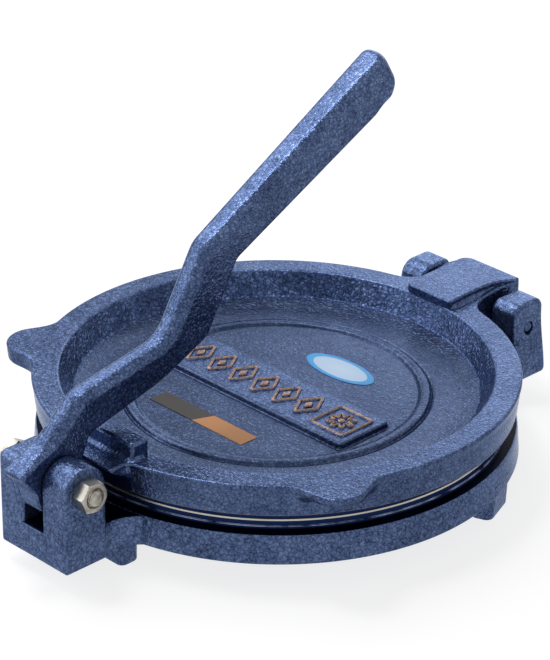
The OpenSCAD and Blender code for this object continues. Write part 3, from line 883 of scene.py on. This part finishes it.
# %% Base shell
def base_shell():
    """Profile of the base: pressing face, its bright edge, the smooth band and ledge, the skirt
    and the hollow underside."""
    p = rounded([(0.05, Z_FACE, 0), (60, Z_FACE, 0), (FACE_R, Z_FACE, 0.3), (FACE_R, 27.6, 0),
                 (FACE_R, 25.45, 0.2), (FACE_R + 0.45, 25.3, 0.25), (FACE_R + 0.45, Z_LEDGE, 0.6),
                 (SHOULDER_R - 0.5, Z_SHOULDER + 0.15, 0), (SHOULDER_R, Z_SHOULDER, 0.4),
                 (SHOULDER_R + 0.4, 21.6, 1.0), (SKIRT_R, Z_SKIRT - 0.2, 1.2),
                 (SKIRT_R - 5.5, Z_SKIRT, 1.5), (94.3, Z_UNDER, 3.0), (40, Z_UNDER, 0),
                 (0.05, Z_UNDER, 0)], closed=False, step=12)

    def slots(x, y, z):
        r = np.hypot(x, y)
        # The band under the lid's rim takes the smooth dark paint: partly its own smooth finish, while its
        # near-black lower part and fine pale line are painted shade and a painted highlight.
        band = (z > Z_UNDER) & (r > 98.0) & (r < SHOULDER_R - 0.35)
        return np.select([z > 27.6, band], [1, 2], 0)
    return with_slots(lathe(p, 600), slots)


# %% Clevis, bridge, lugs and feet
def clevis_ear(x0, x1):
    """Clevis ear in (y, z): the right one has a round top, the left one a lower top with round
    corners."""
    y0, y1, r = PIVOT_Y - CLEVIS_R, PIVOT_Y + CLEVIS_R, CLEVIS_R
    t = np.linspace(0, math.pi, 30)
    top = np.stack([PIVOT_Y + r * np.cos(t), Z_PIVOT + r * np.sin(t)], 1)
    if x0 < 0:
        top = rounded([(y1, Z_PIVOT, 0), (y1, 49.4, 7.2), (y0, 49.4, 7.2), (y0, Z_PIVOT, 0)], closed=False)
    foot = rounded([(y1, Z_PIVOT, 0), (y0, Z_PIVOT, 0), (y0, 7.4, 1.2), (y1, 7.4, 1.2)], step=15)
    o = np.concatenate([top, foot[2:]])
    return prism(o, x0, x1, 1.15 if x0 > 0 else 1.9, columns=220, turns=4)


def clevis_web():
    """Floor of the clevis's slot."""
    y0, y1 = PIVOT_Y - CLEVIS_R + 0.03, PIVOT_Y + CLEVIS_R - 0.2
    o = rounded([(y0, 7.43, 1.2), (y1, 7.43, 1.2), (y1, Z_SLOT, 1.0), (y0, Z_SLOT, 1.0)], step=15)
    web = prism(o, -9.0, 9.0, 0.5, columns=120, turns=2)
    # Painted shade: the slot's floor takes the smooth dark paint.
    return with_slots(web, lambda x, y, z: 2 * (z > Z_SLOT - 0.3))


def bridge():
    """Bridge from the clevis to the skirt. Its outline is the zero line of a box and the skirt's
    circle, joined with a wide concave fillet and cut off inside the skirt."""
    def field(x, y):
        d = np.hypot(x, y) - 102.0
        d = joined(d, box_field(x, y, 20.6, -119.0, -60.0, 3.4), 13.0)
        return np.maximum(d, box_field(x, y, 44.0, -130.0, -84.0, 3.0))
    o = ray_outline(field, 0.0, 60.0, 360, fine=1440, y0=-97.0)
    levels = low_edge(1.5, 9.4) + [(-0.5, 19.5)] + high_edge(2.2, 23.0, off=-0.55)
    # Painted shade: the bridge's top, above 22.6 mm, and its flat ends take the smooth dark paint, for the
    # recess under the lid's nose.
    return with_slots(pad(o, levels), lambda x, y, z: 2 * (z > 22.6), caps=2)


def with_hole(surface, rows, y, z, r, depth, side, face):
    """Opens the end of a prism on one side: rows run in over the surface x = face(y, z) from its
    last outline to a circle of radius r about (y, z), then down to the given depth."""
    grid = surface[0].reshape(rows, -1, 3)
    edge = grid[-1] if side > 0 else grid[0]
    a = np.arctan2(edge[:, 2] - z, edge[:, 1] - y)
    ring = np.stack([edge[:, 0], y + r * np.cos(a), z + r * np.sin(a)], 1)
    more = between(edge, ring, 7) + [ring]
    for row in more:
        row[:, 0] = face(row[:, 1], row[:, 2])
    lip = np.stack([0 * a, y + (r - 0.3) * np.cos(a), z + (r - 0.3) * np.sin(a)], 1)
    more += [lip + [face(y, z) - side * d, 0, 0] for d in (0.3, 0.5, depth)]
    parts = [grid] + [m[None] for m in more] if side > 0 else [m[None] for m in more[::-1]] + [grid]
    return skin(np.concatenate(parts))


def lug(s):
    """Hinge lug on the side that s gives: a block with the pin's hole in its outer side, which
    slopes out to the foot."""
    y0, y1 = HINGE_Y - 9.7, HINGE_Y + 9.7
    r0, r1 = (5.2, 4.6) if s > 0 else (7.6, 3.4)
    top = Z_RIM + 0.1 + 0.2 * s
    o = rounded([(y0, 10.6, 2.2), (y0, top, r0), (y1, top, r1), (y1, 10.5, 2.5)], step=8)
    inner, outer = 21.0, 35.3

    def out(y, z):
        return s * (outer + 3.2 * smoothstep(40, 10, z))

    def inn(y, z):
        return s * inner + 0 * z
    a, b = (inn, out) if s > 0 else (out, inn)
    block = prism(o, a, b, 2.1, columns=240, turns=4, fill=1)
    return with_hole(block, 11, HINGE_Y, Z_HINGE, 3.3, 4.0, s, out)


def lug_root(s):
    """Root of a lug in the skirt."""
    o = rounded([(92.0, 10.6, 0.5), (92.0, 22.6, 0.5), (116.0, 22.6, 0.5), (116.0, 10.6, 0.5)], step=15)
    return prism(o, s * 22.3 if s > 0 else -35.6, 35.6 if s > 0 else -22.3, 1.2, columns=160, turns=3)


def front_foot():
    """Foot under the bridge."""
    o = rectangle(0, -103.75, 21.3, 5.1, 3.2, 160)
    return pad(o, low_edge(1.0, 0.0) + [(0.25, 14.0)])


def rear_foot(angle):
    """Rear foot: a block under the skirt."""
    c, q = math.cos(math.radians(angle)), math.sin(math.radians(angle))
    o = rectangle(98.7, 0, 6.0, 11.0, 4.2, 140) @ np.array([[c, q], [-q, c]])
    return pad(o, low_edge(0.9, 0.0, off=-0.9) + [(-0.4, 12.0), (-0.3, 15.0)])


base_surfaces = [base_shell(), clevis_ear(-CLEVIS_X, -SLOT_W / 2), clevis_ear(SLOT_W / 2, CLEVIS_X),
                 clevis_web(), bridge(), lug(1), lug(-1), lug_root(1), lug_root(-1), front_foot(),
                 *[rear_foot(angle) for angle in REAR_FEET]]
build("base_shell", base_surfaces, "base", [LIGHTENED_BASE_PAINT, MACHINED, SMOOTH_PAINT_AND_SHADE], ["base_casting"])

# %% [markdown]
# ## Lever
#
# The side outline runs from the spur over the heel, the shank, the neck and the grip. Its long
# edges are rounded as on the casting, less at the thin spur.

# %% Lever
def lever_outline():
    """Side outline of the lever in (y, z) from the pivot, with the boss's arc below."""
    heel = np.array([13.0, 32.8])
    bend = moved(heel, SHANK_UP, 47.7)
    shoulder = moved(bend, NECK_UP, 41.2)
    tip = moved(shoulder, GRIP_UP, 119.4)
    grip_root = moved(shoulder, GRIP_UP, 9.4, 17.3)
    neck_root = moved(bend, NECK_UP, 6.5, 21.0)
    shank_mid = moved(bend, SHANK_UP, -7.0, 15.8)
    shank_root = moved(heel, SHANK_UP, 0.0, 18.8)
    tip_under = moved(tip, GRIP_UP, -8.2, 20.7)
    tip_nose = moved(tip, GRIP_UP, -1.5, 0.76 * 20.7)
    t = np.radians(np.linspace(14, -168, 26))
    boss = np.stack([BOSS_R * np.cos(t), BOSS_R * np.sin(t)], 1)
    corners = [(-21.3, 7.8, 1.6), (-5.5, 16.4, 12), (*heel, 13), (*bend, 16), (*shoulder, 13), (*tip, 5),
               (*tip_nose, 8), (*tip_under, 5), (*grip_root, 8), (*neck_root, 10), (*shank_mid, 40),
               (*shank_root, 4), (*boss[0], 2)]
    top = rounded(corners + [(*boss[1], 0)], closed=False, step=8)
    last = rounded([(*boss[17], 0), (-10.7, -11.4, 2.2), (-13.6, -1.5, 2.5), (-21.3, 7.8, 0)], closed=False,
                   step=8)
    start = rounded([(-13.6, -1.5, 0), (-21.3, 7.8, 1.6), (-5.5, 16.4, 0)], closed=False, step=12)
    return np.concatenate([start[1:-1], top[1:-1], boss[1:18], last[1:-1]]), bend, tip


LEVER_LINE, LEVER_BEND, LEVER_TIP = lever_outline()


def lever_side(y):
    """Half width of the lever, straight to the bend and then wider, and the share t of the way
    from the bend to the tip at which y lies, from 0 to 1.05."""
    t = np.clip((y - PIVOT_Y - LEVER_BEND[0]) / (LEVER_TIP[0] - LEVER_BEND[0]), 0, 1.05)
    return LEVER_W / 2 + (GRIP_W - LEVER_W) / 2 * t, t


def lever_left(y, z):
    """Left side of the lever: it leans out a little more than the right side."""
    half, t = lever_side(y)
    return -half - 1.3 * t


def lever_right(y, z):
    """Right side of the lever; over its last 8 it is drawn in by 6 (1 - sqrt(1 - 0.98 u^2)), where
    u runs from 0 to 1."""
    half, t = lever_side(y)
    run = LEVER_TIP - LEVER_BEND
    run = run / np.hypot(*run)
    far = ((LEVER_LINE + np.array([PIVOT_Y, Z_PIVOT])) @ run).max()
    u = np.clip(1 - (far - y * run[0] - z * run[1]) / 8.0, 0, 1)
    return half + 0.35 * t - 6.0 * (1 - np.sqrt(1 - 0.98 * u * u))


def lever_edge(o):
    """Radius of the long edges: full on top of the shank and grip, smaller below and at the boss."""
    y, z = o[:, 0] - PIVOT_Y, o[:, 1] - Z_PIVOT
    high = smoothstep(4, 22, z + 0.4 * np.maximum(y, 0))
    up = smoothstep(-0.3, 0.5, normals(o)[:, 1])
    tip = smoothstep(-9, -1, y - LEVER_TIP[0])
    return 1.1 + high * (0.9 + np.maximum(2.4 * up, 2.0 * tip))


lever_line = evenly(LEVER_LINE + np.array([PIVOT_Y, Z_PIVOT]), 900)
lever_surface = prism(lever_line, lever_left, lever_right, lever_edge, turns=6, fill=1)
build("lever_bar", [lever_surface], "lever", [LIGHTENED_LEVER_PAINT], ["lever"])


# %% [markdown]
# ## Bolt, nut and hinge pin
#
# The nut's corners are cut by a cone. The bolt ends in a thread and a slight dome.

# %% Fasteners
def hexagon(x0, x1, y, z, af, turn, cut0, cut1, sink=0.0, columns=96):
    """Hexagonal prism along x whose corners are cut by cones at its ends.

    R(u) = af / 2 / cos((u - turn) mod 60 - 30). Where R is over 0.49 af, an end is cut back by its
    cut times (R - 0.49 af) tan 30. The far end has a round hollow, sink + 0.3 deep.
    """
    u = np.linspace(0, 2 * math.pi, columns, endpoint=False)
    r = af / 2 / np.cos(np.mod(u - math.radians(turn), math.pi / 3) - math.pi / 6)
    drop = np.maximum(0, r - 0.49 * af) * math.tan(math.radians(30))
    flat = np.minimum(r, 0.485 * af)
    rows = [(x0, 0.02), (x0, 0.97 * np.minimum(r, 0.49 * af)), (x0, flat), (x0 + drop * cut0, r),
            (x1 - drop * cut1, r), (x1, flat), (x1, 0.375 * af), (x1 - sink, 0.31 * af),
            (x1 - sink - 0.3, 0.2 * af)]
    return skin(np.stack([around(x, q, y, z, u) for x, q in rows]))


def threaded(x0, x1, y, z, r, pitch=1.25, columns=64):
    """Bolt end with a thread: r(u, x) = r - 0.22 (1 - cos(2 pi x / pitch - u)), then a dome."""
    u = np.linspace(0, 2 * math.pi, columns, endpoint=False)[None]
    x = np.linspace(x0, x1 - 0.55, 36)[:, None]
    q = r - 0.22 * (1 - np.cos(2 * math.pi * x / pitch - u))
    f = np.array([0.80, 0.66, 0.60, 0.35, 0.05])[:, None]
    dx = np.array([0.30, 0.48, 0.53, 0.55, 0.55])[:, None]
    return skin(np.concatenate([around(x, q, y, z, u), around(x1 - 0.55 + dx, r * f, y, z, u)]))


nut = hexagon(CLEVIS_X, CLEVIS_X + NUT_T, PIVOT_Y, Z_PIVOT, NUT_AF, NUT_TURN, 0.4, 1.0, sink=1.1)
build("pivot_nut_hex", [nut], "base", [PLATED], ["pivot_nut"], sharp=25)
shank = bar([(-CLEVIS_X - 2, 3.95), (CLEVIS_X + 4.4, 3.95)], PIVOT_Y, Z_PIVOT)
head = hexagon(-CLEVIS_X - HEAD_T, -CLEVIS_X, PIVOT_Y, Z_PIVOT, HEAD_AF, HEAD_TURN, 1.0, 0.3)
tail = threaded(CLEVIS_X + 3.6, CLEVIS_X + 7.8, PIVOT_Y, Z_PIVOT, 3.25)
build("pivot_bolt_hex", [shank, head, tail], "base", [PLATED], ["pivot_bolt"], sharp=30)
dome = [(PIN_END - 1.2, 2.75), (PIN_END - 0.5, 2.4), (PIN_END - 0.12, 1.6), (PIN_END, 0.4)]
pin = bar([(-x, r) for x, r in dome[::-1]] + dome, HINGE_Y + 0.3, Z_HINGE + 0.1)
build("hinge_pin_bar", [pin], "base", [PAINT], ["hinge_pin"], sharp=60)

# %% [markdown]
# ## Floor, light and camera
#
# A pale floor that keeps a soft shadow, a world that lights evenly, four soft lamps and a long
# lens. All four lamps stand on the press's left: low behind it, side in front of it, high beside
# it and top nearly over it.

# %% Floor and world
def by_ray(tree, out, plain, seen):
    """Gives the output `seen` for camera, glossy and transmission rays and `plain` for others."""
    path = node(tree, "ShaderNodeLightPath", (-300, 400)).outputs
    bounced = math_node(tree, "MAXIMUM", (-100, 300), path["Is Glossy Ray"], path["Is Transmission Ray"])
    pick = node(tree, "ShaderNodeMixShader", (450, 0))
    parts = (math_node(tree, "MAXIMUM", (100, 400), path["Is Camera Ray"], bounced), plain, seen)
    for k, socket in enumerate(parts):
        tree.links.new(socket, pick.inputs[k])
    tree.links.new(pick.outputs[0], out.inputs["Surface"])


def floor_material():
    """Pale floor: plain diffuse for light, and near white to the camera with the shadow kept."""
    m = bpy.data.materials.new("pale_floor")
    t = emptied(m)
    out = node(t, "ShaderNodeOutputMaterial", (700, 0))
    base = node(t, "ShaderNodeBsdfDiffuse", (0, 200), Color=(0.82, 0.82, 0.82, 1))
    dim = node(t, "ShaderNodeBsdfDiffuse", (0, 0), Color=(0.34, 0.34, 0.34, 1))
    glow = node(t, "ShaderNodeEmission", (0, -200), Color=(1, 1, 1, 1), Strength=0.8)
    both = node(t, "ShaderNodeAddShader", (200, -100))
    t.links.new(dim.outputs[0], both.inputs[0])
    t.links.new(glow.outputs[0], both.inputs[1])
    by_ray(t, out, base.outputs[0], both.outputs[0])
    return m


def add_floor():
    """Large round floor at z = 0."""
    u = np.linspace(0, 2 * math.pi, 96, endpoint=False)
    ringed = [(0.0, 0.0, 0.0)] + np.stack([6 * np.cos(u), 6 * np.sin(u), 0 * u], 1).tolist()
    faces = [(0, k + 1, (k + 1) % 96 + 1) for k in range(96)]
    mesh = bpy.data.meshes.new("floor")
    mesh.from_pydata(ringed, [], faces)
    mesh.materials.append(floor_material())
    added("floor", mesh)


def set_world(level):
    """World: white to the camera and in reflections, a plain level for other rays."""
    world = bpy.data.worlds.new("studio")
    bpy.context.scene.world = world
    t = emptied(world)
    out = node(t, "ShaderNodeOutputWorld", (600, 0))
    plain = node(t, "ShaderNodeBackground", (0, 100), Color=(1, 1, 1, 1), Strength=level)
    white = node(t, "ShaderNodeBackground", (0, -100), Color=(1, 1, 1, 1), Strength=1.0)
    by_ray(t, out, plain.outputs[0], white.outputs[0])


add_floor()
set_world(0.18)


# %% Lights and camera
LAMP_TARGET = (0, 0, 0.05)


def area_light(name, place, size, power):
    """Square soft light at a place, turned to the target (metres)."""
    data = bpy.data.lights.new(name, "AREA")
    data.shape, data.size, data.energy = "SQUARE", size, power
    obj = added(name, data)
    obj.location = place
    obj.rotation_euler = (Vector(LAMP_TARGET) - Vector(place)).to_track_quat("-Z", "Y").to_euler()


area_light("low", (-0.70, 1.22, 0.50), 0.8, 3.6)
area_light("side", (-0.98, -0.88, 0.66), 0.9, 4.6)
area_light("high", (-1.0, 0.12, 1.14), 1.2, 11)
area_light("top", (-0.40, -0.10, 1.4), 0.3, 4.2)


def add_camera(azimuth=45.5, elevation=26.86, roll=0.48, distance=1.3, focal_px=3038.0,
               height_px=660.0, aim=(1.9, 34.8)):
    """Camera that looks at the middle of the rim's plane.

    Its axes are turned by azimuth, elevation and roll; the aimed point lies aim pixels right
    of and below the middle of the view.
    """
    a, e, r = (math.radians(v) for v in (azimuth, elevation, roll))
    turn = np.array([[math.cos(a), -math.sin(a), 0], [math.sin(a), math.cos(a), 0], [0, 0, 1]])
    fwd = turn @ np.array([0, math.cos(e), -math.sin(e)])
    right0, up0 = turn @ np.array([1.0, 0, 0]), turn @ np.array([0, math.sin(e), math.cos(e)])
    right = math.cos(r) * right0 + math.sin(r) * up0
    up = -math.sin(r) * right0 + math.cos(r) * up0
    ray = fwd + aim[0] / focal_px * right - aim[1] / focal_px * up
    place = np.array([0, PLATE_Y * 0.001, Z_RIM * 0.001]) - distance * ray
    data = bpy.data.cameras.new("camera")
    data.sensor_fit = "VERTICAL"
    data.sensor_height = 36.0
    data.lens = focal_px / height_px * 36.0
    data.clip_start, data.clip_end = 0.05, 30.0
    obj = added("camera", data)
    axes = np.stack([right, up, -fwd], 1)
    obj.matrix_world = Matrix.Translation(Vector(place)) @ Matrix(axes.tolist()).to_4x4()
    bpy.context.scene.camera = obj


add_camera()
bpy.context.scene.view_settings.view_transform = "Standard"

# %% [markdown]
# ## Box helper

# %% A box as plain numbers
def plain(box):
    """A box as plain lists of numbers."""
    return [[float(v) for v in corner] for corner in box]
